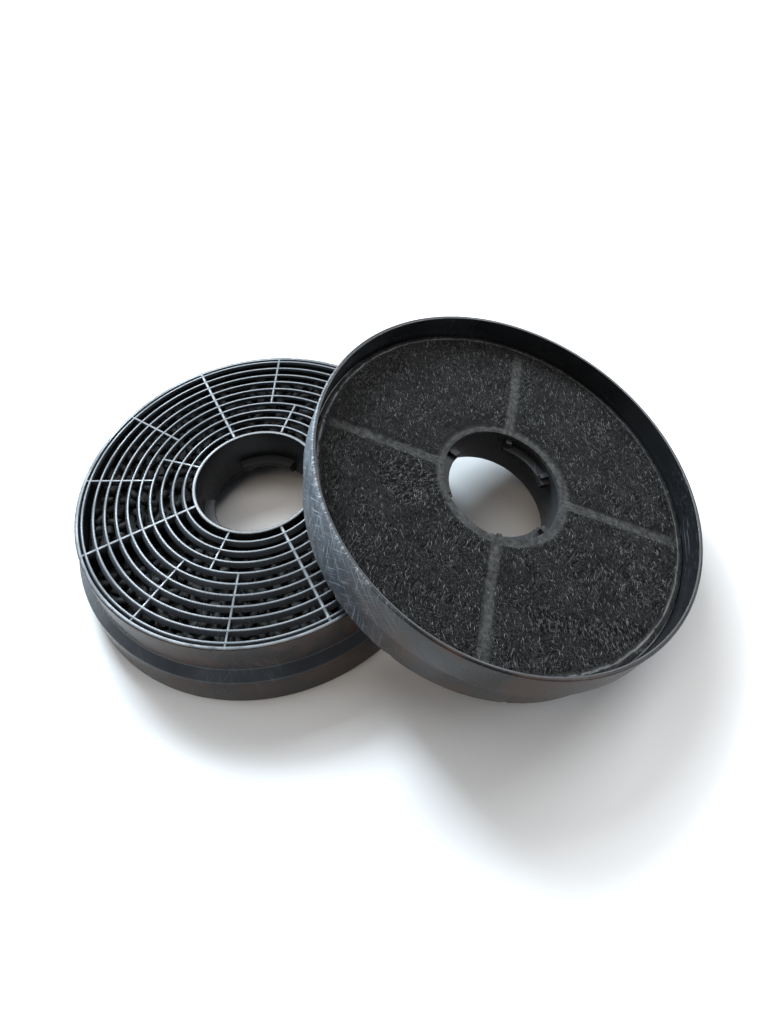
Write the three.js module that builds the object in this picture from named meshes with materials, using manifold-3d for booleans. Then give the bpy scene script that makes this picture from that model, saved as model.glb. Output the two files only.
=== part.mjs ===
// A pair of identical round activated-charcoal filters for a cooker hood. Filter A lies flat with its
// grille up. Filter B lies felt side up, with one edge on the floor and its grille face leaning on A's rim.
// Each filter is one moulded casing (outer wall, slotted grille, partition ribs and a hub with bayonet
// ledges), a felt disc welded over the chambers, and a bed of carbon pellets in each of four chambers.
// Millimetres, +Z up. The origin is on the floor, in the middle of the pair's bounding box, and filter B
// lies towards +X of filter A.
import * as THREE from 'three';
import { mergeVertices } from 'three/addons/utils/BufferGeometryUtils.js';
import Module from 'manifold-3d';

const wasm = await Module();
wasm.setup();

// Driving dimensions of one filter, whose felt-side rim is at z = 0 and whose grille face is at HEIGHT.
const FLANGE_RADIUS = 90;
const UPPER_RADIUS = 86;
const HEIGHT = 37;
const FLANGE_HEIGHT = 16.5;
const STEP_HEIGHT = 4;
const UPPER_WALL = 1.8;
const FLANGE_WALL = 2.2;
const RECESS_DEPTH = 12;
const FELT_THICKNESS = 1.7;

// Grille: ring blades evenly pitched between the rim and the hub.
const RING_COUNT = 10;
const RING_RADIUS_OUTER = 82.6;
const RING_PITCH = 5.3;
const BLADE_WIDTH = 1.1;
const BLADE_DEPTH = 3.5;
const HALF_RIB_RING = 7;
const PARTITION_WIDTH = 1.5;

// Hub: a slightly tapered bore with three bayonet ledges.
const HUB_RADIUS = 31.2;
const BORE_RADIUS_GRILLE = 29.3;
const BORE_RADIUS_FELT = 27.7;
const LEDGE_COUNT = 3;
const LEDGE_RADIUS = 23.4;
const LEDGE_BOTTOM = 18;
const LEDGE_THICKNESS = 3;
const LEDGE_START = 90;
const LEDGE_ARC = 62;
const STOP_START = 51;
const STOP_ARC = 5;
const STOP_BOTTOM = 16.2;
const START_RIB_RADIUS = 25;
const START_RIB_ARC = 6;
const START_RIB_BOTTOM = 14.8;

// Carbon: the pellets lie on whichever face is lowest, the felt in filter A and the grille in filter B.
const BED_DEPTH = 15.2;
const CHAMBER_COUNT = 4;

// Pose of the pair.
const LEAN_ANGLE = 19.85;
const SPIN_A = 223.6;
const SPIN_B = -3.6;
const SIDE_OFFSET_B = 12.5;

const GAP = 0.3;
const OUTER_SIDES = 36;
const INNER_SIDES = 24;
const INNER_DIVISION_LIMIT = 58;

const casingPlastic = new THREE.MeshStandardMaterial({ color: 0x17191c, roughness: 0.38, metalness: 0 });
const feltFabric = new THREE.MeshStandardMaterial({ color: 0x2b2b2c, roughness: 0.95, metalness: 0 });
const carbonPellets = new THREE.MeshStandardMaterial({ color: 0x1b1b1c, roughness: 0.8, metalness: 0 });

const radians = THREE.MathUtils.degToRad;
const feltTop = RECESS_DEPTH + FELT_THICKNESS;
const seatLevel = feltTop + GAP;
const bladeBottom = HEIGHT - BLADE_DEPTH;
const upperInnerRadius = UPPER_RADIUS - UPPER_WALL;
const sidesFor = (radius) => (radius > INNER_DIVISION_LIMIT ? OUTER_SIDES : INNER_SIDES);
const ringRadius = (index) => RING_RADIUS_OUTER - (index - 1) * RING_PITCH;

// A closed geometry as a manifold solid, with its corners merged by position.
function solid(geometry) {
  geometry.deleteAttribute('normal');
  geometry.deleteAttribute('uv');
  const merged = mergeVertices(geometry, 1e-4);
  return new wasm.Manifold(new wasm.Mesh({
    numProp: 3,
    vertProperties: merged.attributes.position.array,
    triVerts: new Uint32Array(merged.index.array),
  }));
}

function geometryOf(manifold) {
  const mesh = manifold.getMesh();
  const geometry = new THREE.BufferGeometry();
  geometry.setAttribute('position', new THREE.BufferAttribute(mesh.vertProperties, 3));
  geometry.setIndex(new THREE.BufferAttribute(mesh.triVerts, 1));
  geometry.computeVertexNormals();
  return geometry;
}

// A ring turned from a closed profile of [radius, height] pairs, listed anticlockwise.
function turned(profile, sides) {
  const points = [...profile, profile[0]].map(([radius, height]) => new THREE.Vector2(radius, height));
  const geometry = new THREE.LatheGeometry(points, sides);
  geometry.rotateX(Math.PI / 2);
  return geometry;
}

function ring(innerRadius, outerRadius, bottom, top) {
  const profile = [[innerRadius, bottom], [outerRadius, bottom], [outerRadius, top], [innerRadius, top]];
  return turned(profile, sidesFor(outerRadius));
}

// An upright bar along a radius at the given angle in degrees.
function radialBar(innerRadius, outerRadius, bottom, top, width, angle) {
  const bar = new THREE.BoxGeometry(outerRadius - innerRadius, width, top - bottom);
  bar.translate((innerRadius + outerRadius) / 2, 0, (bottom + top) / 2);
  bar.rotateZ(radians(angle));
  return bar;
}

// A block with curved inner and outer faces, between two angles in degrees.
function arcBlock(innerRadius, outerRadius, bottom, top, start, end, steps) {
  const outline = [];
  for (let step = 0; step <= steps; step += 1) {
    outline.push([outerRadius, start + ((end - start) * step) / steps]);
  }
  for (let step = steps; step >= 0; step -= 1) {
    outline.push([innerRadius, start + ((end - start) * step) / steps]);
  }
  const points = outline.map(([radius, angle]) => new THREE.Vector2(
    radius * Math.cos(radians(angle)),
    radius * Math.sin(radians(angle)),
  ));
  const block = new THREE.ExtrudeGeometry(new THREE.Shape(points), { depth: top - bottom, bevelEnabled: false });
  block.translate(0, 0, bottom);
  return block;
}

function outerWall() {
  const rimInner = FLANGE_RADIUS - FLANGE_WALL;
  return turned([
    [rimInner, 0],
    [FLANGE_RADIUS, 0],
    [FLANGE_RADIUS, FLANGE_HEIGHT],
    [UPPER_RADIUS, FLANGE_HEIGHT + STEP_HEIGHT],
    [UPPER_RADIUS, HEIGHT],
    [upperInnerRadius, HEIGHT],
    [upperInnerRadius, seatLevel],
    [rimInner, seatLevel],
  ], OUTER_SIDES);
}

function hubTube() {
  return turned([
    [BORE_RADIUS_FELT, seatLevel],
    [HUB_RADIUS, seatLevel],
    [HUB_RADIUS, HEIGHT],
    [BORE_RADIUS_GRILLE, HEIGHT],
  ], INNER_SIDES);
}

// Three ledges in the bore, each with an end stop at one end and a low rib at the other.
function bayonet() {
  const pieces = [];
  const ledgeTop = LEDGE_BOTTOM + LEDGE_THICKNESS;
  const root = BORE_RADIUS_GRILLE;
  for (let index = 0; index < LEDGE_COUNT; index += 1) {
    const start = LEDGE_START + (index * 360) / LEDGE_COUNT;
    const stop = start + STOP_START;
    const ribEnd = start + START_RIB_ARC;
    pieces.push(arcBlock(LEDGE_RADIUS, root, LEDGE_BOTTOM, ledgeTop, start, start + LEDGE_ARC, 5));
    pieces.push(arcBlock(LEDGE_RADIUS, root, STOP_BOTTOM, ledgeTop, stop, stop + STOP_ARC, 1));
    pieces.push(arcBlock(START_RIB_RADIUS, root, START_RIB_BOTTOM, ledgeTop, start, ribEnd, 1));
  }
  return pieces;
}

function ribs() {
  const pieces = [];
  const middleRing = ringRadius(HALF_RIB_RING);
  for (let quarter = 0; quarter < CHAMBER_COUNT; quarter += 1) {
    const angle = (quarter * 360) / CHAMBER_COUNT;
    const overlap = UPPER_WALL / 2;
    const outerEnd = upperInnerRadius + overlap;
    const hubEnd = HUB_RADIUS - overlap;
    pieces.push(radialBar(hubEnd, outerEnd, seatLevel, HEIGHT, PARTITION_WIDTH, angle));
    pieces.push(radialBar(middleRing, outerEnd, bladeBottom, HEIGHT, BLADE_WIDTH, angle + 30));
    pieces.push(radialBar(middleRing, outerEnd, bladeBottom, HEIGHT, BLADE_WIDTH, angle + 60));
    pieces.push(radialBar(hubEnd, middleRing, bladeBottom, HEIGHT, BLADE_WIDTH, angle + 45));
  }
  return pieces;
}

// The whole casing is one moulding.
function casing() {
  const blades = [];
  for (let index = 1; index <= RING_COUNT; index += 1) {
    const middle = ringRadius(index);
    blades.push(ring(middle - BLADE_WIDTH / 2, middle + BLADE_WIDTH / 2, bladeBottom, HEIGHT));
  }
  const pieces = [outerWall(), hubTube(), ...bayonet(), ...ribs(), ...blades];
  return geometryOf(pieces.map(solid).reduce((whole, piece) => whole.add(piece)));
}

function feltDisc() {
  const outerRadius = FLANGE_RADIUS - FLANGE_WALL - GAP;
  return ring(BORE_RADIUS_FELT, outerRadius, RECESS_DEPTH, feltTop);
}

// The pellets in one chamber: a quarter ring that stays clear of the wall, the hub and both partitions.
function carbonBed(bottom) {
  const clearance = PARTITION_WIDTH / 2 + GAP;
  const outerRadius = upperInnerRadius - GAP;
  const innerRadius = HUB_RADIUS + GAP;
  const outline = [];
  const addArc = (radius, sides, reversed) => {
    const edge = THREE.MathUtils.radToDeg(Math.asin(clearance / radius));
    const angles = [edge];
    for (let angle = 360 / sides; angle < 90; angle += 360 / sides) angles.push(angle);
    angles.push(90 - edge);
    if (reversed) angles.reverse();
    angles.forEach((angle) => outline.push(
      new THREE.Vector2(radius * Math.cos(radians(angle)), radius * Math.sin(radians(angle))),
    ));
  };
  addArc(outerRadius, OUTER_SIDES, false);
  addArc(innerRadius, INNER_SIDES, true);
  const bed = new THREE.ExtrudeGeometry(new THREE.Shape(outline), { depth: BED_DEPTH, bevelEnabled: false });
  bed.translate(0, 0, bottom);
  return bed;
}

function namedMesh(name, geometry, material) {
  const mesh = new THREE.Mesh(geometry, material);
  mesh.name = name;
  return mesh;
}

const casingGeometry = casing();

function filter(prefix, bedBottom) {
  const group = new THREE.Group();
  group.add(namedMesh(`${prefix}_casing`, casingGeometry, casingPlastic));
  group.add(namedMesh(`${prefix}_felt`, feltDisc(), feltFabric));
  for (let chamber = 1; chamber <= CHAMBER_COUNT; chamber += 1) {
    const bed = namedMesh(`${prefix}_carbon_${chamber}`, carbonBed(bedBottom), carbonPellets);
    bed.rotation.z = radians(((chamber - 1) * 360) / CHAMBER_COUNT);
    group.add(bed);
  }
  return group;
}

const filterA = filter('filter_a', seatLevel);
filterA.rotation.z = radians(SPIN_A);

// Filter B: its grille rim touches the floor at the far side, and its grille face clears A's rim by GAP.
const filterB = filter('filter_b', bladeBottom - GAP - BED_DEPTH);
const lean = radians(LEAN_ANGLE);
const faceCentreHeight = UPPER_RADIUS * Math.sin(lean);
const faceCentreX = UPPER_RADIUS + (HEIGHT + GAP - faceCentreHeight) / Math.tan(lean);
filterB.rotation.set(0, Math.PI + lean, radians(SPIN_B));
filterB.position.set(
  faceCentreX + HEIGHT * Math.sin(lean),
  SIDE_OFFSET_B,
  faceCentreHeight + HEIGHT * Math.cos(lean),
);

const pair = new THREE.Group();
pair.add(filterA, filterB);
const footprint = new THREE.Box3().setFromObject(pair, true).getCenter(new THREE.Vector3());
pair.position.set(-footprint.x, -footprint.y, 0);

export default pair;
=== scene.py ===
import math

import bmesh
import bpy
import numpy as np
from mathutils import Matrix, Vector


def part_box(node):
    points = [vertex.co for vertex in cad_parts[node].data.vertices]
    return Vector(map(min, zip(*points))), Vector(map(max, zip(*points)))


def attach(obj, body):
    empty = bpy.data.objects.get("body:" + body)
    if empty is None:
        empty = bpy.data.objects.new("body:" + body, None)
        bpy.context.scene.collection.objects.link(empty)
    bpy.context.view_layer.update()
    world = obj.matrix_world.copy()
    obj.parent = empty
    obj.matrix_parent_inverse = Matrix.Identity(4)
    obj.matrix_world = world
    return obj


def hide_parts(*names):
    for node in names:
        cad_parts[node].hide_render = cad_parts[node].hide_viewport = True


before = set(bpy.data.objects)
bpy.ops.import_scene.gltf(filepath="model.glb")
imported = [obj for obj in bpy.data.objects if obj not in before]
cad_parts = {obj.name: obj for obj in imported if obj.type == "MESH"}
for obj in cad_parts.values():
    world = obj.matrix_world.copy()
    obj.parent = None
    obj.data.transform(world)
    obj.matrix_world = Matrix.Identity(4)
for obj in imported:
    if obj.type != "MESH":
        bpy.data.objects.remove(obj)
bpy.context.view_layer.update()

# ---------------------------------------------------------------- driving dimensions
# One filter, in millimetres: the felt-side rim is at z = 0 and the grille face at HEIGHT.
MM = 0.001
FLANGE_RADIUS = 90.0
UPPER_RADIUS = 86.0
HEIGHT = 37.0
FLANGE_HEIGHT = 16.5
STEP_HEIGHT = 4.0
UPPER_WALL = 1.8
FLANGE_WALL = 2.2
RECESS_DEPTH = 12.0
FELT_THICKNESS = 1.7
FELT_GAP = 0.3
SEAT_LEVEL = RECESS_DEPTH + FELT_THICKNESS + FELT_GAP

RING_COUNT = 10
RING_RADIUS_OUTER = 82.6
RING_PITCH = 5.3
BLADE_WIDTH = 1.1
BLADE_FOOT = HEIGHT - 2.4
BLADE_LEAN = 1.3
BLADE_INNER_SHARE = 0.45
RIB_BOTTOM = HEIGHT - 3.5
RIB_DROP = 0.02
HALF_RIB_RING = 7
PARTITION_WIDTH = 1.5
CLEARANCE = 0.3

HUB_RADIUS = 31.2
BORE_RADIUS_GRILLE = 29.3
BORE_RADIUS_FELT = 27.7
LEDGE_COUNT = 3
LEDGE_RADIUS = 23.4
LEDGE_BOTTOM = 18.0
LEDGE_THICKNESS = 3.0
LEDGE_START = 90.0
LEDGE_ARC = 62.0
STOP_START = 51.0
STOP_ARC = 5.0
STOP_BOTTOM = 16.2
START_RIB_RADIUS = 25.0
START_RIB_ARC = 6.0
START_RIB_BOTTOM = 14.8

FELT_RADIUS = 87.1
WELD_RING_RADIUS = 84.8
WELD_HALF_WIDTH = 2.3
STRIP_END_RADIUS = 84.0
CHAMBER_COUNT = 4
BED_DEPTH = 15.2
PELLET_RADIUS = 2.0

# The pair's pose, as in the CAD: B leans on A's rim and is turned about its own axis.
LEAN = math.radians(19.85)
SPIN_A = math.radians(223.6)
SPIN_B = math.radians(-3.6)
SIDE_OFFSET_B = 12.5
TOUCH_GAP = 0.3


def centre_of_a():
    low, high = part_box("filter_a_casing")
    return Vector(((low.x + high.x) / 2, (low.y + high.y) / 2, 0.0))


AXIS_A = centre_of_a()


def place_a():
    return Matrix.Translation(AXIS_A) @ Matrix.Rotation(SPIN_A, 4, "Z")


def place_b():
    face_height = UPPER_RADIUS * math.sin(LEAN)
    face_x = UPPER_RADIUS + (HEIGHT + TOUCH_GAP - face_height) / math.tan(LEAN)
    offset = Vector((
        face_x + HEIGHT * math.sin(LEAN),
        SIDE_OFFSET_B,
        face_height + HEIGHT * math.cos(LEAN),
    ))
    turn = Matrix.Rotation(math.pi + LEAN, 4, "Y") @ Matrix.Rotation(SPIN_B, 4, "Z")
    return Matrix.Translation(AXIS_A + offset * MM) @ turn


# ---------------------------------------------------------------- camera
# From one perspective fit of the camera and both filters. The place is in metres from A's centre.
CAMERA_PLACE = Vector((0.13821, -0.20807, 0.33646))
CAMERA_RIGHT = Vector((0.9628, 0.2646, -0.0544))
CAMERA_BACK = Vector((0.2333, -0.7133, 0.6608))
CAMERA_SENSOR = 36.0
CAMERA_LENS = 27.48
CAMERA_SHIFT = -0.1738


def make_camera():
    data = bpy.data.cameras.new("camera")
    data.sensor_width = CAMERA_SENSOR
    data.lens = CAMERA_LENS
    data.shift_y = CAMERA_SHIFT
    camera = bpy.data.objects.new("camera", data)
    bpy.context.scene.collection.objects.link(camera)
    back = CAMERA_BACK.normalized()
    right = (CAMERA_RIGHT - back * CAMERA_RIGHT.dot(back)).normalized()
    up = back.cross(right)
    turn = Matrix((right, up, back)).transposed().to_4x4()
    camera.matrix_world = Matrix.Translation(AXIS_A + CAMERA_PLACE) @ turn
    bpy.context.scene.camera = camera


make_camera()


# ---------------------------------------------------------------- mesh helpers
def mesh_object(name, vertices, faces):
    mesh = bpy.data.meshes.new(name)
    mesh.from_pydata([tuple(v) for v in vertices], [], [tuple(f) for f in faces])
    mesh.validate()
    mesh.update()
    obj = bpy.data.objects.new(name, mesh)
    bpy.context.scene.collection.objects.link(obj)
    return obj


class Shell:
    """Collects closed shells, in millimetres, that go into one mesh."""

    def __init__(self):
        self.vertices = []
        self.faces = []

    def add(self, vertices, faces):
        start = len(self.vertices)
        self.vertices.extend(vertices)
        self.faces.extend([tuple(start + i for i in face) for face in faces])

    def object(self, name):
        return mesh_object(name, [[c * MM for c in v] for v in self.vertices], self.faces)


def rounded(corners, steps=3):
    """A closed outline from (x, y, radius) corners, listed anticlockwise, with arcs at the corners."""
    outline = []
    count = len(corners)
    for index, (x, y, radius) in enumerate(corners):
        point = Vector((x, y))
        before = Vector(corners[index - 1][:2])
        after = Vector(corners[(index + 1) % count][:2])
        to_before = (before - point).normalized()
        to_after = (after - point).normalized()
        if radius <= 0:
            outline.append((x, y))
            continue
        half = to_before.angle(to_after) / 2
        reach = radius / math.tan(half)
        middle = point + (to_before + to_after).normalized() * (radius / math.sin(half))
        first = point + to_before * reach - middle
        last = point + to_after * reach - middle
        swing = first.angle_signed(last)
        for step in range(steps + 1):
            angle = -swing * step / steps
            turned_x = first.x * math.cos(angle) - first.y * math.sin(angle)
            turned_y = first.x * math.sin(angle) + first.y * math.cos(angle)
            outline.append((middle.x + turned_x, middle.y + turned_y))
    return outline


def revolve(shell, outline, segments, start=0.0, sweep=360.0, wobble=None):
    """Turns a closed (radius, height) outline, listed anticlockwise, about the axis. Less than a full
    turn gets end caps. wobble gives the shift of a point from its column, radius and height."""
    closed = sweep >= 360.0
    columns = segments if closed else segments + 1
    rows = len(outline)
    vertices = []
    for column in range(columns):
        angle = math.radians(start + sweep * column / segments)
        for radius, height in outline:
            if wobble:
                shift = wobble(column, radius, height)
                radius, height = radius + shift[0], height + shift[1]
            vertices.append((radius * math.cos(angle), radius * math.sin(angle), height))
    faces = []
    for column in range(segments):
        following = (column + 1) % columns
        for row in range(rows):
            below = (row + 1) % rows
            faces.append((
                column * rows + row,
                following * rows + row,
                following * rows + below,
                column * rows + below,
            ))
    if not closed:
        faces.append(tuple(range(rows)))
        faces.append(tuple(segments * rows + row for row in reversed(range(rows))))
    shell.add(vertices, faces)


def radial_bar(shell, inner, outer, bottom, top, width, angle, fillet):
    """An upright bar along a radius, with rounded top edges."""
    half = width / 2
    section = rounded([
        (-half, bottom, 0), (half, bottom, 0), (half, top, fillet), (-half, top, fillet),
    ])
    count = len(section)
    cosine, sine = math.cos(math.radians(angle)), math.sin(math.radians(angle))
    vertices = []
    for reach in (inner, outer):
        for side, height in section:
            vertices.append((reach * cosine - side * sine, reach * sine + side * cosine, height))
    faces = [(i, (i + 1) % count, (i + 1) % count + count, i + count) for i in range(count)]
    faces.append(tuple(reversed(range(count))))
    faces.append(tuple(range(count, 2 * count)))
    shell.add(vertices, faces)


def unite(base, others):
    for other in others:
        modifier = base.modifiers.new("unite", "BOOLEAN")
        modifier.operation = "UNION"
        modifier.solver = "MANIFOLD"
        modifier.object = other
        bpy.context.view_layer.objects.active = base
        bpy.ops.object.modifier_apply(modifier=modifier.name)
        bpy.data.objects.remove(other)


def shade(obj, sharp_degrees=32.0):
    """Smooth shading that keeps edges sharper than the given angle."""
    limit = math.radians(sharp_degrees)
    work = bmesh.new()
    work.from_mesh(obj.data)
    for face in work.faces:
        face.smooth = True
    for edge in work.edges:
        if len(edge.link_faces) == 2:
            edge.smooth = edge.calc_face_angle(0.0) < limit
    work.to_mesh(obj.data)
    work.free()


# ---------------------------------------------------------------- casing
WALL_SEGMENTS = 360
BLADE_SEGMENTS = 240
BURR_REACH = 0.7
BURR_SIZE = 0.16
RIM_LEAD = 0.35


def ring_radius(index):
    return RING_RADIUS_OUTER - (index - 1) * RING_PITCH


def rim_burr(seed):
    """Small moulding flash along the outer edge of the grille-side rim."""
    rng = np.random.default_rng(seed)
    rough = rng.normal(0.0, 1.0, WALL_SEGMENTS)
    patches = np.convolve(rng.normal(0.0, 1.0, WALL_SEGMENTS), np.ones(9) / 3, "same")
    strength = np.clip(np.abs(patches) - 0.5, 0.0, 1.4)

    def shift(column, radius, height):
        if height < HEIGHT - BURR_REACH or radius < UPPER_RADIUS - BURR_REACH:
            return 0.0, 0.0
        bump = BURR_SIZE * rough[column] * strength[column]
        return min(bump, 0.0) * 1.2, min(bump, 0.05) * 0.8

    return shift


def casing_wall(shell):
    rim_inner = FLANGE_RADIUS - FLANGE_WALL
    inner = UPPER_RADIUS - UPPER_WALL
    outline = rounded([
        (rim_inner + RIM_LEAD, 0, 0.3),
        (FLANGE_RADIUS, 0, 0.7),
        (FLANGE_RADIUS, FLANGE_HEIGHT, 1.2),
        (UPPER_RADIUS, FLANGE_HEIGHT + STEP_HEIGHT, 1.2),
        (UPPER_RADIUS, HEIGHT, 0.5),
        (inner, HEIGHT, 0.25),
        (inner, SEAT_LEVEL, 0.2),
        (rim_inner, SEAT_LEVEL, 0.2),
    ], 4)
    revolve(shell, outline, WALL_SEGMENTS, wobble=rim_burr(3))


def casing_hub(shell):
    revolve(shell, rounded([
        (BORE_RADIUS_FELT, SEAT_LEVEL, 0.2),
        (HUB_RADIUS, SEAT_LEVEL, 0.2),
        (HUB_RADIUS, HEIGHT, 0.35),
        (BORE_RADIUS_GRILLE, HEIGHT, 0.45),
    ]), BLADE_SEGMENTS)


def casing_blades(shell):
    """The ring blades. Each one's outer side slopes outwards on the way down, and its foot is thicker."""
    widest = UPPER_RADIUS - UPPER_WALL - CLEARANCE
    for index in range(1, RING_COUNT + 1):
        inner = ring_radius(index) - BLADE_WIDTH / 2
        outer = ring_radius(index) + BLADE_WIDTH / 2
        lean = min(BLADE_LEAN, widest - outer)
        revolve(shell, rounded([
            (inner + BLADE_INNER_SHARE * lean, BLADE_FOOT, 0.15),
            (outer + lean, BLADE_FOOT, 0.15),
            (outer, HEIGHT, 0.32),
            (inner, HEIGHT, 0.32),
        ]), BLADE_SEGMENTS)


def casing_ribs(shell):
    """The partition ribs, and the outer and inner half-ribs, which meet at one ring."""
    wall_end = UPPER_RADIUS - UPPER_WALL / 2
    hub_end = HUB_RADIUS - UPPER_WALL / 2
    middle = ring_radius(HALF_RIB_RING)
    top = HEIGHT - RIB_DROP
    for quarter in range(CHAMBER_COUNT):
        angle = quarter * 90.0
        radial_bar(shell, hub_end, wall_end, SEAT_LEVEL, top, PARTITION_WIDTH, angle, 0.4)
        radial_bar(shell, middle, wall_end, RIB_BOTTOM, top, BLADE_WIDTH, angle + 30, 0.3)
        radial_bar(shell, middle, wall_end, RIB_BOTTOM, top, BLADE_WIDTH, angle + 60, 0.3)
        radial_bar(shell, hub_end, middle, RIB_BOTTOM, top, BLADE_WIDTH, angle + 45, 0.3)


def bayonet_shells():
    """The ledges, and the stops and start ribs that stand on them, as two sets of solids."""
    ledges, stops = Shell(), Shell()
    ledge_top = LEDGE_BOTTOM + LEDGE_THICKNESS
    stop_top = ledge_top - 0.4
    root = (BORE_RADIUS_GRILLE + HUB_RADIUS) / 2
    for index in range(LEDGE_COUNT):
        start = LEDGE_START + index * 360.0 / LEDGE_COUNT
        revolve(ledges, rounded([
            (LEDGE_RADIUS, LEDGE_BOTTOM, 0.3), (root, LEDGE_BOTTOM, 0),
            (root, ledge_top, 0), (LEDGE_RADIUS, ledge_top, 0.3),
        ]), 30, start, LEDGE_ARC)
        blocks = (
            (LEDGE_RADIUS + 0.1, STOP_BOTTOM, start + STOP_START, STOP_ARC),
            (START_RIB_RADIUS, START_RIB_BOTTOM, start + 0.3, START_RIB_ARC),
        )
        for reach, bottom, first, sweep in blocks:
            revolve(stops, rounded([
                (reach, bottom, 0.3), (root, bottom, 0), (root, stop_top, 0), (reach, stop_top, 0.2),
            ]), 6, first, sweep)
    return ledges, stops


def make_casing(name):
    body, ribs = Shell(), Shell()
    casing_wall(body)
    casing_hub(body)
    casing_blades(body)
    casing_ribs(ribs)
    casing = body.object(name)
    extras = [ribs.object("ribs")] + [shell.object("bayonet") for shell in bayonet_shells()]
    unite(casing, extras)
    shade(casing)
    return casing


# ---------------------------------------------------------------- felt
FELT_AROUND = 480
FELT_ROWS = 90
FELT_RISE = 0.40
FELT_LUMPS = 0.22
WELD_PRESS = 0.35
WELD_LINE_PITCH = 0.95


def smooth_noise(size, cells, rng):
    """A size x size field of smooth noise between about -1 and 1, with the given cells across."""
    coarse = rng.uniform(-1.0, 1.0, (cells + 3, cells + 3))
    spots = np.linspace(0.0, cells, size, endpoint=False)
    low = spots.astype(int)
    part = spots - low
    part = part * part * (3 - 2 * part)
    rows = coarse[low] * (1 - part)[:, None] + coarse[low + 1] * part[:, None]
    return rows[:, low] * (1 - part)[None, :] + rows[:, low + 1] * part[None, :]


class FeltRelief:
    """The felt's outer face: where it is welded, and how far it is pressed in (+) or stands proud (-)."""

    SIZE = 720

    def __init__(self, seed):
        rng = np.random.default_rng(seed)
        self.lumps = smooth_noise(self.SIZE, 24, rng) * 0.6 + smooth_noise(self.SIZE, 70, rng) * 0.4
        self.ragged = smooth_noise(self.SIZE, 40, rng) * 0.5 + smooth_noise(self.SIZE, 150, rng) * 0.5

    def sample(self, field, x, y):
        u = np.clip(((x / FELT_RADIUS + 1) / 2 * (self.SIZE - 1)).astype(int), 0, self.SIZE - 1)
        v = np.clip(((y / FELT_RADIUS + 1) / 2 * (self.SIZE - 1)).astype(int), 0, self.SIZE - 1)
        return field[u, v]

    def strip(self, x, y):
        """The bands over the four partition ribs, with ragged edges. They fade before the rim."""
        across = np.minimum(np.abs(x), np.abs(y)) + 0.8 * self.sample(self.ragged, x, y)
        fade = np.clip((STRIP_END_RADIUS - np.hypot(x, y)) / 4.0, 0, 1)
        return np.clip((WELD_HALF_WIDTH + 0.6 - across) / 1.1, 0, 1) * fade

    def hub_ring(self, x, y):
        reach = HUB_RADIUS + 0.9 - np.hypot(x, y) + 0.4 * self.sample(self.ragged, x, y)
        return np.clip(reach / 1.2, 0, 1)

    def rim_line(self, x, y):
        away = np.abs(np.hypot(x, y) - WELD_RING_RADIUS + 0.5 * self.sample(self.ragged, x, y))
        return np.clip(1.4 - away, 0, 1)

    def pale(self, x, y):
        """1 where welding has matted the fibres to a lighter grey."""
        bands = np.maximum(self.strip(x, y), self.hub_ring(x, y))
        return np.maximum(bands * 0.8, self.rim_line(x, y))

    def weld(self, x, y):
        border = np.clip(np.hypot(x, y) - WELD_RING_RADIUS + 0.6, 0, 1)
        weld = np.maximum(np.maximum(self.strip(x, y), self.hub_ring(x, y)), border)
        return weld * weld * (3 - 2 * weld)

    def depth(self, x, y):
        weld = self.weld(x, y)
        radius = np.hypot(x, y)
        across = np.minimum(np.abs(x), np.abs(y))
        groove = 0.10 * np.cos(np.clip(across / WELD_HALF_WIDTH, 0, 1) * 2 * math.pi)
        turns = (radius - BORE_RADIUS_FELT) * 2 * math.pi / WELD_LINE_PITCH
        rings = 0.07 * np.cos(turns) * (radius < HUB_RADIUS + 1)
        loose = -FELT_RISE + FELT_LUMPS * self.sample(self.lumps, x, y)
        pressed = WELD_PRESS + groove + rings + 0.06 * self.sample(self.ragged, x, y)
        return loose * (1 - weld) + pressed * weld


def make_felt(name, relief):
    """A closed disc with a hole: the outer face has the relief, and the inner face is flat."""
    share = np.linspace(0.0, 1.0, FELT_ROWS)
    radii = BORE_RADIUS_FELT + 0.1 + (FELT_RADIUS - BORE_RADIUS_FELT - 0.1) * share
    angles = np.linspace(0.0, 2 * math.pi, FELT_AROUND, endpoint=False)
    radius, angle = np.meshgrid(radii, angles, indexing="ij")
    rng = np.random.default_rng(5)
    fray = np.convolve(rng.normal(0.0, 0.12, FELT_AROUND), np.ones(3) / 3, "same")
    radius = radius + fray[None, :] * (share[:, None] > 0.985)
    x, y = radius * np.cos(angle), radius * np.sin(angle)
    face = RECESS_DEPTH + relief.depth(x, y)
    back = np.full_like(face, RECESS_DEPTH + FELT_THICKNESS)
    outer = np.stack([x, y, face], -1).reshape(-1, 3)
    inner = np.stack([x, y, back], -1).reshape(-1, 3)
    vertices = np.concatenate([outer, inner])
    offset = len(outer)
    faces = []
    for row in range(FELT_ROWS - 1):
        for column in range(FELT_AROUND):
            following = (column + 1) % FELT_AROUND
            a, b = row * FELT_AROUND + column, row * FELT_AROUND + following
            c, d = b + FELT_AROUND, a + FELT_AROUND
            faces.append((a, b, c, d))
            faces.append((offset + d, offset + c, offset + b, offset + a))
    last = (FELT_ROWS - 1) * FELT_AROUND
    for column in range(FELT_AROUND):
        following = (column + 1) % FELT_AROUND
        faces.append((offset + column, offset + following, following, column))
        faces.append((last + column, last + following, offset + last + following, offset + last + column))
    felt = mesh_object(name, vertices * MM, faces)
    shade(felt, 60.0)
    attribute = felt.data.attributes.new("pale", "FLOAT", "POINT")
    pale = relief.pale(x, y).reshape(-1)
    attribute.data.foreach_set("value", np.concatenate([pale, pale]).astype(np.float32))
    return felt


FIBRE_COUNT = 14000
FIBRE_POINTS = 3
FIBRE_HEADING = 1.3
FIBRE_LIFT = 0.16


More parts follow.
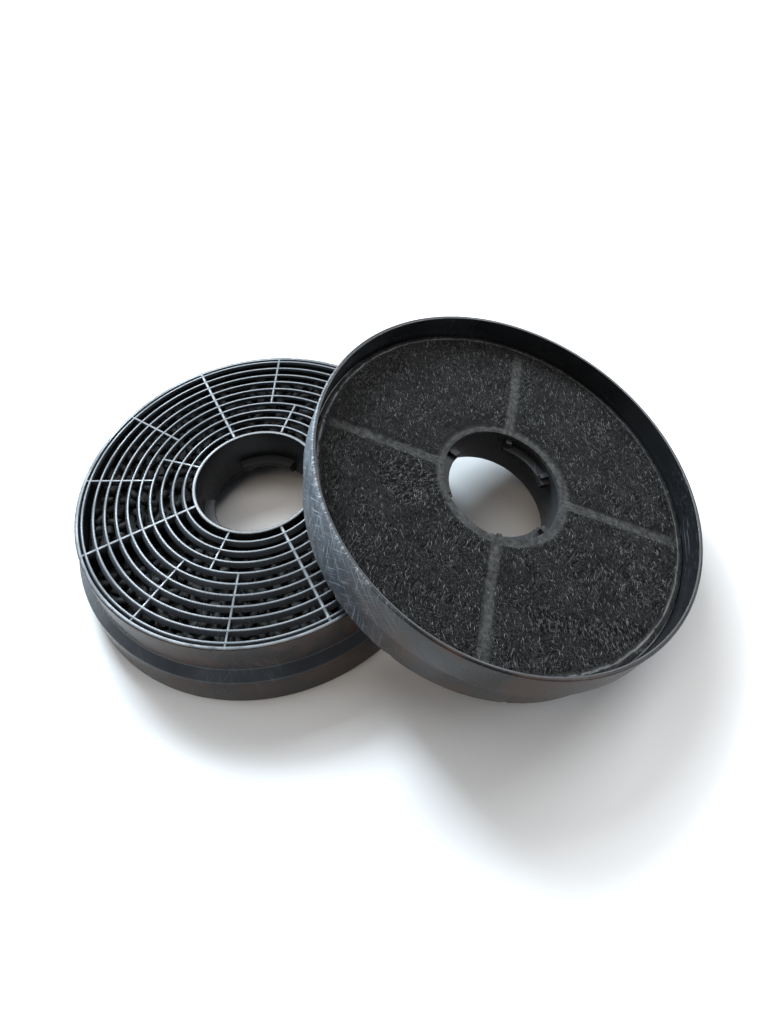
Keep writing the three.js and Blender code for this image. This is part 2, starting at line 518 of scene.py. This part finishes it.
def make_fibres(name, relief, seed):
    """Short, nearly straight strands that lie on the felt's outer face, thin and three-sided."""
    rng = np.random.default_rng(seed)
    radius = np.sqrt(rng.uniform((HUB_RADIUS + 1.5) ** 2, (WELD_RING_RADIUS - 0.5) ** 2, FIBRE_COUNT))
    around = rng.uniform(0, 2 * math.pi, FIBRE_COUNT)
    x, y = radius * np.cos(around), radius * np.sin(around)
    heading = FIBRE_HEADING + 0.35 * rng.normal(0.0, 1.0, FIBRE_COUNT)
    length = rng.uniform(1.0, 2.9, FIBRE_COUNT)
    bend = rng.normal(0.0, 0.2, FIBRE_COUNT)
    thick = rng.uniform(0.06, 0.13, FIBRE_COUNT)
    tone = rng.uniform(0.0, 1.0, FIBRE_COUNT) ** 1.8
    keep = rng.uniform(0, 1, FIBRE_COUNT) > relief.weld(x, y) * 0.85
    share = np.linspace(-0.5, 0.5, FIBRE_POINTS)
    vertices, faces, tones = [], [], []
    for i in np.flatnonzero(keep):
        angle = heading[i] + bend[i] * share * 2
        step = length[i] / (FIBRE_POINTS - 1)
        px = x[i] + np.cumsum(np.cos(angle)) * step
        py = y[i] + np.cumsum(np.sin(angle)) * step
        inside = np.hypot(px, py)
        if inside.min() < HUB_RADIUS - 1.0 or inside.max() > FELT_RADIUS - 0.7:
            continue
        height = RECESS_DEPTH + relief.depth(px, py)
        lift = FIBRE_LIFT * (1 - (2 * share) ** 2)
        base = len(vertices)
        for k in range(FIBRE_POINTS):
            across_x, across_y = -math.sin(angle[k]), math.cos(angle[k])
            taper = thick[i] * (0.5 if k in (0, FIBRE_POINTS - 1) else 1.1)
            z = height[k] - lift[k]
            vertices.append((px[k] + across_x * taper, py[k] + across_y * taper, z + taper * 0.5))
            vertices.append((px[k] - across_x * taper, py[k] - across_y * taper, z + taper * 0.5))
            vertices.append((px[k], py[k], z - taper))
        tones.extend([tone[i]] * (3 * FIBRE_POINTS))
        for k in range(FIBRE_POINTS - 1):
            a, b = base + 3 * k, base + 3 * k + 3
            for side in range(3):
                other = (side + 1) % 3
                faces.append((a + side, b + side, b + other, a + other))
        end = base + 3 * (FIBRE_POINTS - 1)
        faces.append((base, base + 1, base + 2))
        faces.append((end + 2, end + 1, end))
    fibres = mesh_object(name, np.array(vertices) * MM, faces)
    for polygon in fibres.data.polygons:
        polygon.use_smooth = True
    attribute = fibres.data.attributes.new("tone", "FLOAT", "POINT")
    attribute.data.foreach_set("value", np.array(tones, np.float32))
    return fibres


# ---------------------------------------------------------------- carbon pellets
GRID = 0.6
PELLET_SIDES = 10
PELLET_HALF_LENGTHS = (1.8, 3.6)
STEEPEST = 0.6
# Where a falling pellet is tested: (sideways, as a share of its radius, and how much higher it is there).
UNDERSIDE = ((-0.7, 0.6), (0.0, 0.0), (0.7, 0.6))
# Points along a pellet's outline: (share of its half length, share of its radius).
PELLET_SECTION = [
    (-1.0, 0.55), (-0.94, 0.9), (-0.8, 1.0), (0.0, 1.03), (0.8, 1.0), (0.95, 0.88), (1.0, 0.6),
]


def chamber_clear(x, y, margin):
    radius = np.hypot(x, y)
    side = PARTITION_WIDTH / 2 + CLEARANCE + margin
    return (
        (radius < UPPER_RADIUS - UPPER_WALL - CLEARANCE - margin)
        & (radius > HUB_RADIUS + CLEARANCE + margin)
        & (x > side)
        & (y > side)
    )


def drop_pellets(seed, tries, depth):
    """Drops pellets one after another on a height map of the first quarter, and keeps those that end
    up no higher than depth. Each is (x, y, z, yaw, pitch, half length), and z counts up from the face
    that the pile starts on."""
    rng = np.random.default_rng(seed)
    cells = int(UPPER_RADIUS / GRID) + 4
    heights = np.zeros((cells, cells))
    pellets = []
    for _ in range(tries):
        x, y = rng.uniform(0, UPPER_RADIUS, 2)
        yaw = rng.uniform(0, math.pi)
        half = rng.uniform(*PELLET_HALF_LENGTHS)
        along = np.linspace(-half, half, 7)
        px, py = x + along * math.cos(yaw), y + along * math.sin(yaw)
        if not chamber_clear(px, py, PELLET_RADIUS * 0.8).all():
            continue
        sx, sy = -math.sin(yaw), math.cos(yaw)
        under = np.zeros(len(along))
        for across, rise in UNDERSIDE:
            gx = np.clip(((px + sx * across * PELLET_RADIUS) / GRID).astype(int), 0, cells - 1)
            gy = np.clip(((py + sy * across * PELLET_RADIUS) / GRID).astype(int), 0, cells - 1)
            under = np.maximum(under, heights[gx, gy] - rise)
        left, right = under[:3].max(), under[4:].max()
        pitch = math.atan2(right - left, half * 1.4)
        if abs(pitch) > STEEPEST:
            continue
        rest = max((under - along * math.tan(pitch)).max(), 0.0) + PELLET_RADIUS
        if rest + PELLET_RADIUS + half * abs(math.sin(pitch)) > depth:
            continue
        pellets.append((x, y, rest, yaw, pitch, half))
        reach = int(half / GRID) + int(PELLET_RADIUS / GRID) + 2
        ix, iy = int(x / GRID), int(y / GRID)
        gx = np.arange(max(ix - reach, 0), min(ix + reach, cells))
        gy = np.arange(max(iy - reach, 0), min(iy + reach, cells))
        cx, cy = np.meshgrid(gx * GRID - x, gy * GRID - y, indexing="ij")
        lengthwise = cx * math.cos(yaw) + cy * math.sin(yaw)
        sideways = cx * sx + cy * sy
        covered = (np.abs(lengthwise) < half) & (np.abs(sideways) < PELLET_RADIUS)
        round_top = np.sqrt(np.maximum(PELLET_RADIUS ** 2 - sideways ** 2, 0.0))
        top = rest + round_top + lengthwise * math.tan(pitch)
        patch = heights[gx[0]:gx[-1] + 1, gy[0]:gy[-1] + 1]
        patch[covered] = np.maximum(patch[covered], top[covered])
    return pellets


def make_pellets(name, quarter, pellets, level, upward, seed):
    """The pellets of one chamber. level is the height that they start from, and upward is +1 or -1."""
    rng = np.random.default_rng(seed)
    turn = Matrix.Rotation(quarter * math.pi / 2, 3, "Z")
    vertices, faces, shades = [], [], []
    for x, y, z, yaw, pitch, half in pellets:
        axis = Vector((math.cos(yaw) * math.cos(pitch), math.sin(yaw) * math.cos(pitch), math.sin(pitch)))
        side = Vector((-math.sin(yaw), math.cos(yaw), 0.0))
        up = axis.cross(side)
        middle = Vector((x, y, z))
        base = len(vertices)
        tone = rng.uniform(0, 1)
        rough = rng.uniform(0.93, 1.05, len(PELLET_SECTION))
        for (share, girth), uneven in zip(PELLET_SECTION, rough):
            for k in range(PELLET_SIDES):
                angle = 2 * math.pi * k / PELLET_SIDES
                ring = (side * math.cos(angle) + up * math.sin(angle)) * PELLET_RADIUS * girth * uneven
                point = middle + axis * (half * share) + ring
                point = turn @ point
                vertices.append((point.x, point.y, level + upward * point.z))
                shades.append(tone)
        for row in range(len(PELLET_SECTION) - 1):
            for k in range(PELLET_SIDES):
                following = (k + 1) % PELLET_SIDES
                a, b = base + row * PELLET_SIDES + k, base + row * PELLET_SIDES + following
                faces.append((a, b, b + PELLET_SIDES, a + PELLET_SIDES))
        faces.append(tuple(base + k for k in reversed(range(PELLET_SIDES))))
        last = base + (len(PELLET_SECTION) - 1) * PELLET_SIDES
        faces.append(tuple(last + k for k in range(PELLET_SIDES)))
    if upward > 0:
        faces = [tuple(reversed(face)) for face in faces]
    obj = mesh_object(name, np.array(vertices) * MM, faces)
    shade(obj, 50.0)
    attribute = obj.data.attributes.new("tone", "FLOAT", "POINT")
    attribute.data.foreach_set("value", np.array(shades, np.float32))
    return obj


def make_core(name, quarter, bottom, top):
    """The unseen inside of a chamber's pile, as a plain quarter ring under the loose pellets."""
    steps = 24
    outline = []
    clearance = PARTITION_WIDTH / 2 + 0.4
    for radius, order in ((UPPER_RADIUS - UPPER_WALL - 0.5, 1), (HUB_RADIUS + 0.5, -1)):
        edge = math.asin(clearance / radius)
        angles = np.linspace(edge, math.pi / 2 - edge, steps)[::order]
        outline.extend((radius * math.cos(a), radius * math.sin(a)) for a in angles)
    turn = Matrix.Rotation(quarter * math.pi / 2, 2)
    outline = [turn @ Vector(point) for point in outline]
    count = len(outline)
    vertices = [(p.x, p.y, h) for h in (bottom, top) for p in outline]
    faces = [(i, (i + 1) % count, (i + 1) % count + count, i + count) for i in range(count)]
    inner = count - 1
    for i in range(steps - 1):
        faces.append((inner - i, inner - i - 1, i + 1, i))
        faces.append((count + i, count + i + 1, count + inner - i - 1, count + inner - i))
    return mesh_object(name, np.array(vertices) * MM, faces)


# ---------------------------------------------------------------- materials
SPOT = "spot"


class Nodes:
    """A small builder for one material's node tree. Patterns are placed by the spot attribute, which
    holds each point's place in its filter's own frame, in metres."""

    def __init__(self, name):
        self.material = bpy.data.materials.new(name)
        self.material.use_nodes = True
        self.tree = self.material.node_tree
        self.shader = self.tree.nodes["Principled BSDF"]

    def add(self, kind, inputs=(), **settings):
        node = self.tree.nodes.new(kind)
        for key, value in settings.items():
            setattr(node, key, value)
        for socket, value in dict(inputs).items():
            self.put(node.inputs[socket], value)
        return node

    def put(self, socket, value):
        if isinstance(value, bpy.types.NodeSocket):
            self.tree.links.new(value, socket)
        else:
            socket.default_value = value

    def set(self, **values):
        for key, value in values.items():
            self.put(self.shader.inputs[key.replace("_", " ")], value)

    def place(self, scale=(1, 1, 1), turn=(0, 0, 0), shift=(0, 0, 0)):
        coordinates = self.add("ShaderNodeAttribute", attribute_name=SPOT).outputs["Vector"]
        return self.add("ShaderNodeMapping", {
            "Vector": coordinates, "Scale": scale, "Rotation": turn, "Location": shift,
        }).outputs[0]

    def noise(self, vector, scale, detail=3.0, roughness=0.55, distortion=0.0):
        return self.add("ShaderNodeTexNoise", {
            "Vector": vector, "Scale": scale, "Detail": detail,
            "Roughness": roughness, "Distortion": distortion,
        }).outputs["Fac"]

    def ramp(self, value, stops):
        node = self.add("ShaderNodeValToRGB", {"Fac": value})
        ramp = node.color_ramp
        while len(ramp.elements) < len(stops):
            ramp.elements.new(0.5)
        for element, (position, colour) in zip(ramp.elements, stops):
            element.position = position
            element.color = (*colour, 1.0)
        return node.outputs["Color"]

    def range(self, value, low, high, to_low, to_high):
        return self.add("ShaderNodeMapRange", {
            "Value": value, "From Min": low, "From Max": high, "To Min": to_low, "To Max": to_high,
        }).outputs[0]

    def fade(self, value, start, end):
        """0 up to start, 1 from end on, and a straight run between them."""
        return self.range(value, start, end, 0.0, 1.0)

    def math(self, operation, a, b=0.5):
        node = self.add("ShaderNodeMath", operation=operation)
        self.put(node.inputs[0], a)
        self.put(node.inputs[1], b)
        return node.outputs[0]

    def product(self, first, *others):
        for other in others:
            first = self.math("MULTIPLY", first, other)
        return first

    def mix(self, factor, a, b):
        node = self.add("ShaderNodeMix", data_type="RGBA")
        self.put(node.inputs["Factor"], factor)
        self.put(node.inputs["A"], (*a, 1.0) if isinstance(a, tuple) else a)
        self.put(node.inputs["B"], (*b, 1.0) if isinstance(b, tuple) else b)
        return node.outputs["Result"]

    def bump(self, height, strength, distance, below=None):
        inputs = {"Height": height, "Strength": strength, "Distance": distance}
        if below is not None:
            inputs["Normal"] = below
        return self.add("ShaderNodeBump", inputs).outputs[0]


STEP_TOP = FLANGE_HEIGHT + STEP_HEIGHT
SOFT_EDGE = 0.6
# Where the scuffed patch starts and is full, as metres from the axis towards its middle.
SCUFFED_FROM, SCUFFED_FULL = 0.060, 0.088

BLACK = ((0.0045, 0.0049, 0.0057), (0.0095, 0.0102, 0.0117))
# Painted reflection: a warm brown tint on the outer wall that stands in for a reflected brown table.
PAINTED_WARM_REFLECTION = (0.050, 0.024, 0.014)
# Painted reflection: a lighter bluish grey on the step band that stands in for reflected window light.
PAINTED_STEP_REFLECTION = (0.05, 0.058, 0.068)
# Painted sheen: a bluish grey over the grille that stands in for light on the blade faces.
PAINTED_GRILLE_SHEEN = (0.070, 0.080, 0.093)
SCUFF_HAZE = (0.085, 0.105, 0.125)
SCRATCH = (0.38, 0.43, 0.48)


def fine_scratches(n, shift):
    """Straight hairline scratches in three directions through the whole moulding."""
    scratches = 0.0
    for turn, stretch in (((0.0, 0.5, 0.7), 1500.0), ((0.9, 0.0, -0.4), 1200.0), ((0.4, 0.8, 1.9), 1700.0)):
        lines = n.noise(n.place((stretch, stretch * 0.02, stretch), turn, shift), 1.0, 1.0)
        scratches = n.math("MAXIMUM", scratches, n.fade(lines, 0.66, 0.72))
    return scratches


def crossed_scuffs(n, x, y, z):
    """Longer scratches at three slants, drawn on the wall's surface as if it were rolled out flat."""
    around = n.product(n.math("ARCTAN2", y, x), UPPER_RADIUS * MM)
    unrolled = n.add("ShaderNodeCombineXYZ", {"X": around, "Y": z}).outputs[0]
    scuffs = 0.0
    for slant, stretch in ((0.65, 1500.0), (-0.9, 1900.0), (1.35, 1300.0)):
        turned = n.add("ShaderNodeVectorRotate", {
            "Vector": unrolled, "Angle": slant,
        }, rotation_type="Z_AXIS").outputs[0]
        drawn_out = n.add("ShaderNodeMapping", {
            "Vector": turned, "Scale": (stretch * 0.035, stretch, 1.0),
        }).outputs[0]
        scuffs = n.math("MAXIMUM", scuffs, n.fade(n.noise(drawn_out, 1.0, 2.0), 0.58, 0.68))
    return scuffs


def casing_zones(n, radius, z):
    """Masks of the wall's outer surface, the step band on it, the grille and the bore."""
    band, upper = (FLANGE_RADIUS - 1.2) * MM, (UPPER_RADIUS - 0.9) * MM
    skin = n.range(z, FLANGE_HEIGHT * MM, STEP_TOP * MM, band, upper)
    outside = n.fade(n.math("SUBTRACT", radius, skin), 0.0, SOFT_EDGE * MM)
    above = n.fade(z, (FLANGE_HEIGHT - SOFT_EDGE) * MM, FLANGE_HEIGHT * MM)
    below = n.range(z, STEP_TOP * MM, (STEP_TOP + SOFT_EDGE) * MM, 1.0, 0.0)
    step = n.product(above, below, outside)
    high = n.fade(z, (RIB_BOTTOM - 1.0) * MM, RIB_BOTTOM * MM)
    past_hub = n.fade(radius, HUB_RADIUS * MM, (HUB_RADIUS + SOFT_EDGE) * MM)
    grille = n.product(high, past_hub, n.math("SUBTRACT", 1.0, outside))
    bore = n.range(radius, BORE_RADIUS_FELT * MM, BORE_RADIUS_GRILLE * MM, 1.0, 0.0)
    return outside, step, grille, bore


def plastic_material(name, shift, scuffed_angle):
    """Black moulded polypropylene: satin, with faint mottling and scratches. The outer wall carries a
    painted warm reflection in patches, the step band on it a painted bluish reflection, the grille a
    painted bluish sheen, and the bore is duller. Round scuffed_angle, in degrees, the wall has a patch of
    dense crossed scuffs."""
    n = Nodes(name)
    still = n.place(shift=shift)
    mottle = n.noise(still, 55.0, 4.0)
    clouds = n.noise(still, 24.0, 3.0)
    fine = n.noise(still, 900.0, 3.0)
    x, y, z = n.add("ShaderNodeSeparateXYZ", {"Vector": n.place()}).outputs
    radius = n.math("SQRT", n.math("ADD", n.math("POWER", x, 2.0), n.math("POWER", y, 2.0)))
    outside, step, grille, bore = casing_zones(n, radius, z)

    turned = math.radians(scuffed_angle)
    facing = n.math("ADD", n.product(x, math.cos(turned)), n.product(y, math.sin(turned)))
    scuffed_side = n.product(n.fade(facing, SCUFFED_FROM, SCUFFED_FULL), outside)
    patches = n.product(n.fade(clouds, 0.50, 0.62), 0.5)
    worn = n.math("MAXIMUM", patches, scuffed_side)
    handled = n.math("MAXIMUM", scuffed_side, n.product(patches, outside, 0.45))
    within = n.math("SUBTRACT", n.product(patches, 0.4), outside)
    inner_marks = n.product(fine_scratches(n, shift), within)
    marks = n.math("MAXIMUM", inner_marks, n.product(crossed_scuffs(n, x, y, z), handled))
    # Painted reflection: warm brown patches over the outer wall, left off the step band.
    painted_reflection = n.product(n.range(mottle, 0.42, 0.62, 0.05, 1.0), n.math("SUBTRACT", outside, step))

    colour = n.mix(mottle, *BLACK)
    colour = n.mix(n.product(painted_reflection, 0.7), colour, PAINTED_WARM_REFLECTION)
    # Painted reflection on the step band, made patchy by the clouds noise.
    colour = n.mix(n.product(step, n.range(clouds, 0.35, 0.65, 0.3, 0.8)), colour, PAINTED_STEP_REFLECTION)
    # Painted sheen over the grille, made patchy by the mottling.
    colour = n.mix(n.product(grille, n.range(mottle, 0.3, 0.7, 0.4, 0.8)), colour, PAINTED_GRILLE_SHEEN)
    colour = n.mix(n.product(scuffed_side, n.range(clouds, 0.3, 0.7, 0.35, 0.9)), colour, SCUFF_HAZE)
    colour = n.mix(n.product(marks, 0.7), colour, SCRATCH)

    roughness = n.range(mottle, 0.3, 0.7, 0.24, 0.38)
    uneven = n.range(clouds, 0.35, 0.65, -0.06, 0.12)
    for zone, duller in ((grille, uneven), (worn, 0.12), (bore, 0.3)):
        roughness = n.math("ADD", roughness, n.product(zone, duller))

    relief = n.bump(mottle, 0.10, 0.0006)
    relief = n.bump(fine, 0.06, 0.0002, relief)
    relief = n.bump(marks, 0.15, 0.0001, relief)
    n.set(Base_Color=colour, Roughness=roughness, Normal=relief, Specular_IOR_Level=0.5, IOR=1.4)
    return n.material


def felt_material(name, shift):
    """Grey-black needled felt: short streaky strands in shifting directions, paler where it is welded."""
    n = Nodes(name)
    still = n.place(shift=shift)
    swirl = n.range(n.noise(still, 30.0, 1.0), 0.3, 0.7, -0.75, 0.25)
    turned = n.add("ShaderNodeVectorRotate", {"Vector": still, "Angle": swirl}, rotation_type="Z_AXIS")
    strands = n.add("ShaderNodeMapping", {"Vector": turned.outputs[0], "Scale": (2100.0, 520.0, 900.0)})
    streaks = n.noise(strands.outputs[0], 1.0, 2.0, 0.6, 0.4)
    tufts = n.noise(still, 520.0, 3.0, 0.6)
    pale = n.add("ShaderNodeAttribute", attribute_name="pale").outputs["Fac"]
    loose = n.ramp(streaks, [
        (0.38, (0.0009, 0.0009, 0.0009)), (0.52, (0.0050, 0.0049, 0.0049)), (0.68, (0.080, 0.079, 0.079)),
    ])
    loose = n.mix(n.range(tufts, 0.35, 0.7, 0.0, 0.4), loose, (0.0022, 0.0022, 0.0023))
    pressed = n.mix(n.fade(tufts, 0.3, 0.7), (0.021, 0.021, 0.0205), (0.078, 0.078, 0.077))
    pressed = n.mix(n.range(pale, 0.82, 1.0, 0.0, 0.8), pressed, (0.28, 0.295, 0.31))
    relief = n.bump(streaks, 0.8, 0.0006)
    relief = n.bump(tufts, 0.6, 0.0006, relief)
    n.set(Base_Color=n.mix(pale, loose, pressed), Roughness=0.95, Normal=relief)
    n.set(Specular_IOR_Level=0.06, Sheen_Weight=0.02)
    return n.material


def fibre_material(name):
    """The felt's loose strands, from nearly black to light grey, with one tone and fine specks on each."""
    n = Nodes(name)
    tone = n.add("ShaderNodeAttribute", attribute_name="tone").outputs["Fac"]
    speck = n.noise(n.place(), 2500.0, 1.0)
    colour = n.ramp(n.product(tone, n.range(speck, 0.3, 0.7, 0.6, 1.1)), [
        (0.0, (0.004, 0.004, 0.004)), (0.5, (0.036, 0.036, 0.036)), (1.0, (0.23, 0.23, 0.233)),
    ])
    n.set(Base_Color=colour, Roughness=0.7, Specular_IOR_Level=0.2)
    return n.material


def pellet_material(name):
    """Extruded activated carbon: dull black with a dusty bloom that differs from pellet to pellet."""
    n = Nodes(name)
    still = n.place()
    tone = n.add("ShaderNodeAttribute", attribute_name="tone").outputs["Fac"]
    pores = n.noise(still, 1400.0, 3.0)
    colour = n.mix(n.math("POWER", tone, 2.5), (0.0016, 0.0017, 0.0019), (0.013, 0.0135, 0.015))
    colour = n.mix(n.range(pores, 0.45, 0.8, 0.0, 0.35), colour, (0.012, 0.013, 0.0145))
    n.set(Base_Color=colour, Roughness=n.range(pores, 0.3, 0.7, 0.55, 0.8))
    n.set(Normal=n.bump(pores, 0.35, 0.0004), Specular_IOR_Level=0.3)
    return n.material


# ---------------------------------------------------------------- assembly
def finish_piece(obj, place, body, material, node=None):
    points = np.empty(len(obj.data.vertices) * 3, np.float32)
    obj.data.vertices.foreach_get("co", points)
    obj.data.attributes.new(SPOT, "FLOAT_VECTOR", "POINT").data.foreach_set("vector", points)
    obj.data.transform(place)
    obj.data.materials.clear()
    obj.data.materials.append(material)
    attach(obj, body)
    if node:
        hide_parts(node)


PILE_TRIES = 2200
PILE_DEPTH = 7.0
PILE_GAP = 0.1
CORE_OVERLAP = 1.0
CORE_GAP = 1.0


def make_filter(letter, place, shift, seed, grille_down, scuffed_angle):
    """One filter. Its carbon has sunk to whichever side is below, so the bed lies on the grille or on the
    felt. Plain cores fill the beds' unseen part."""
    body = f"filter_{letter}"
    plastic = plastic_material(f"plastic_{letter}", shift, scuffed_angle)
    felt_look = felt_material(f"felt_{letter}", shift)
    fibre_look = fibre_material(f"fibre_{letter}")
    pellet_look = pellet_material(f"pellets_{letter}")

    casing = make_casing(f"casing_{letter}")
    finish_piece(casing, place, body, plastic, f"{body}_casing")

    relief = FeltRelief(seed)
    felt = make_felt(f"felt_{letter}", relief)
    finish_piece(felt, place, body, felt_look, f"{body}_felt")
    fibres = make_fibres(f"fibres_{letter}", relief, seed + 1)
    finish_piece(fibres, place, body, fibre_look)

    if grille_down:
        level, upward = RIB_BOTTOM - PILE_GAP, -1
        core = (RIB_BOTTOM - BED_DEPTH, RIB_BOTTOM - PILE_DEPTH + CORE_OVERLAP)
    else:
        top = SEAT_LEVEL + BED_DEPTH
        level, upward = top - PILE_DEPTH, 1
        core = (SEAT_LEVEL, level - CORE_GAP)
    for quarter in range(CHAMBER_COUNT):
        pile = drop_pellets(seed + 10 + quarter, PILE_TRIES, PILE_DEPTH)
        number = quarter + 1
        pellets = make_pellets(f"pellets_{letter}_{number}", quarter, pile, level, upward, seed + quarter)
        finish_piece(pellets, place, body, pellet_look, f"{body}_carbon_{number}")
        inside = make_core(f"bed_{letter}_{number}", quarter, *core)
        finish_piece(inside, place, body, pellet_look)


make_filter("a", place_a(), shift=(0.0, 0.0, 0.0), seed=11, grille_down=False, scuffed_angle=318.0)
make_filter("b", place_b(), shift=(0.31, 0.17, 0.05), seed=47, grille_down=True, scuffed_angle=-22.0)


# ---------------------------------------------------------------- floor and light
# In metres and watts.
FLOOR_REACH = 3.0
AIM = Vector((0.0, 0.0, 0.03))
DAYLIGHT = (0.93, 0.96, 1.0, 1.0)
DAYLIGHT_STRENGTH = 0.14
# Each softbox: name, place, size, power, colour.
SOFTBOXES = [
    ("window_left", (-0.80, 1.10, 1.55), (1.15, 0.95), 54.0, (0.88, 0.95, 1.0)),
    ("pane_left", (-1.12, 0.98, 1.44), (0.5, 0.45), 52.0, (0.74, 0.89, 1.0)),
    ("window_right", (0.98, 1.30, 1.27), (1.0, 0.8), 28.0, (0.92, 0.96, 1.0)),
    ("overhead", (0.0, 0.1, 1.7), (0.9, 0.9), 8.0, (1.0, 0.99, 0.97)),
    ("front", (-0.35, -0.85, 1.6), (0.9, 0.6), 6.0, (1.0, 0.86, 0.74)),
    ("fill_right", (1.2, 0.15, 0.6), (0.6, 0.6), 5.0, (0.88, 0.94, 1.0)),
    ("fill_left", (-1.7, -0.4, 0.55), (0.9, 0.7), 16.0, (0.80, 0.90, 1.0)),
]


def make_floor():
    reach = FLOOR_REACH
    corners = [(-reach, -reach, 0), (reach, -reach, 0), (reach, reach, 0), (-reach, reach, 0)]
    floor = mesh_object("floor", corners, [(0, 1, 2, 3)])
    n = Nodes("floor")
    grain = n.noise(n.add("ShaderNodeTexCoord").outputs["Object"], 6.0, 2.0)
    n.set(Base_Color=n.mix(grain, (0.60, 0.60, 0.60), (0.63, 0.63, 0.63)), Roughness=0.95)
    n.set(Specular_IOR_Level=0.1)
    floor.data.materials.append(n.material)


def make_softbox(name, place, size, power, colour):
    data = bpy.data.lights.new(name, "AREA")
    data.shape = "RECTANGLE"
    data.size, data.size_y = size
    data.energy = power
    data.color = colour
    light = bpy.data.objects.new(name, data)
    bpy.context.scene.collection.objects.link(light)
    light.location = place
    light.rotation_euler = (AIM - light.location).to_track_quat("-Z", "Y").to_euler()


def make_light():
    world = bpy.data.worlds.new("studio")
    world.use_nodes = True
    background = world.node_tree.nodes["Background"]
    background.inputs["Color"].default_value = DAYLIGHT
    background.inputs["Strength"].default_value = DAYLIGHT_STRENGTH
    bpy.context.scene.world = world
    bpy.context.scene.view_settings.view_transform = "Standard"
    for softbox in SOFTBOXES:
        make_softbox(*softbox)


make_floor()
make_light()

bpy.context.view_layer.update()
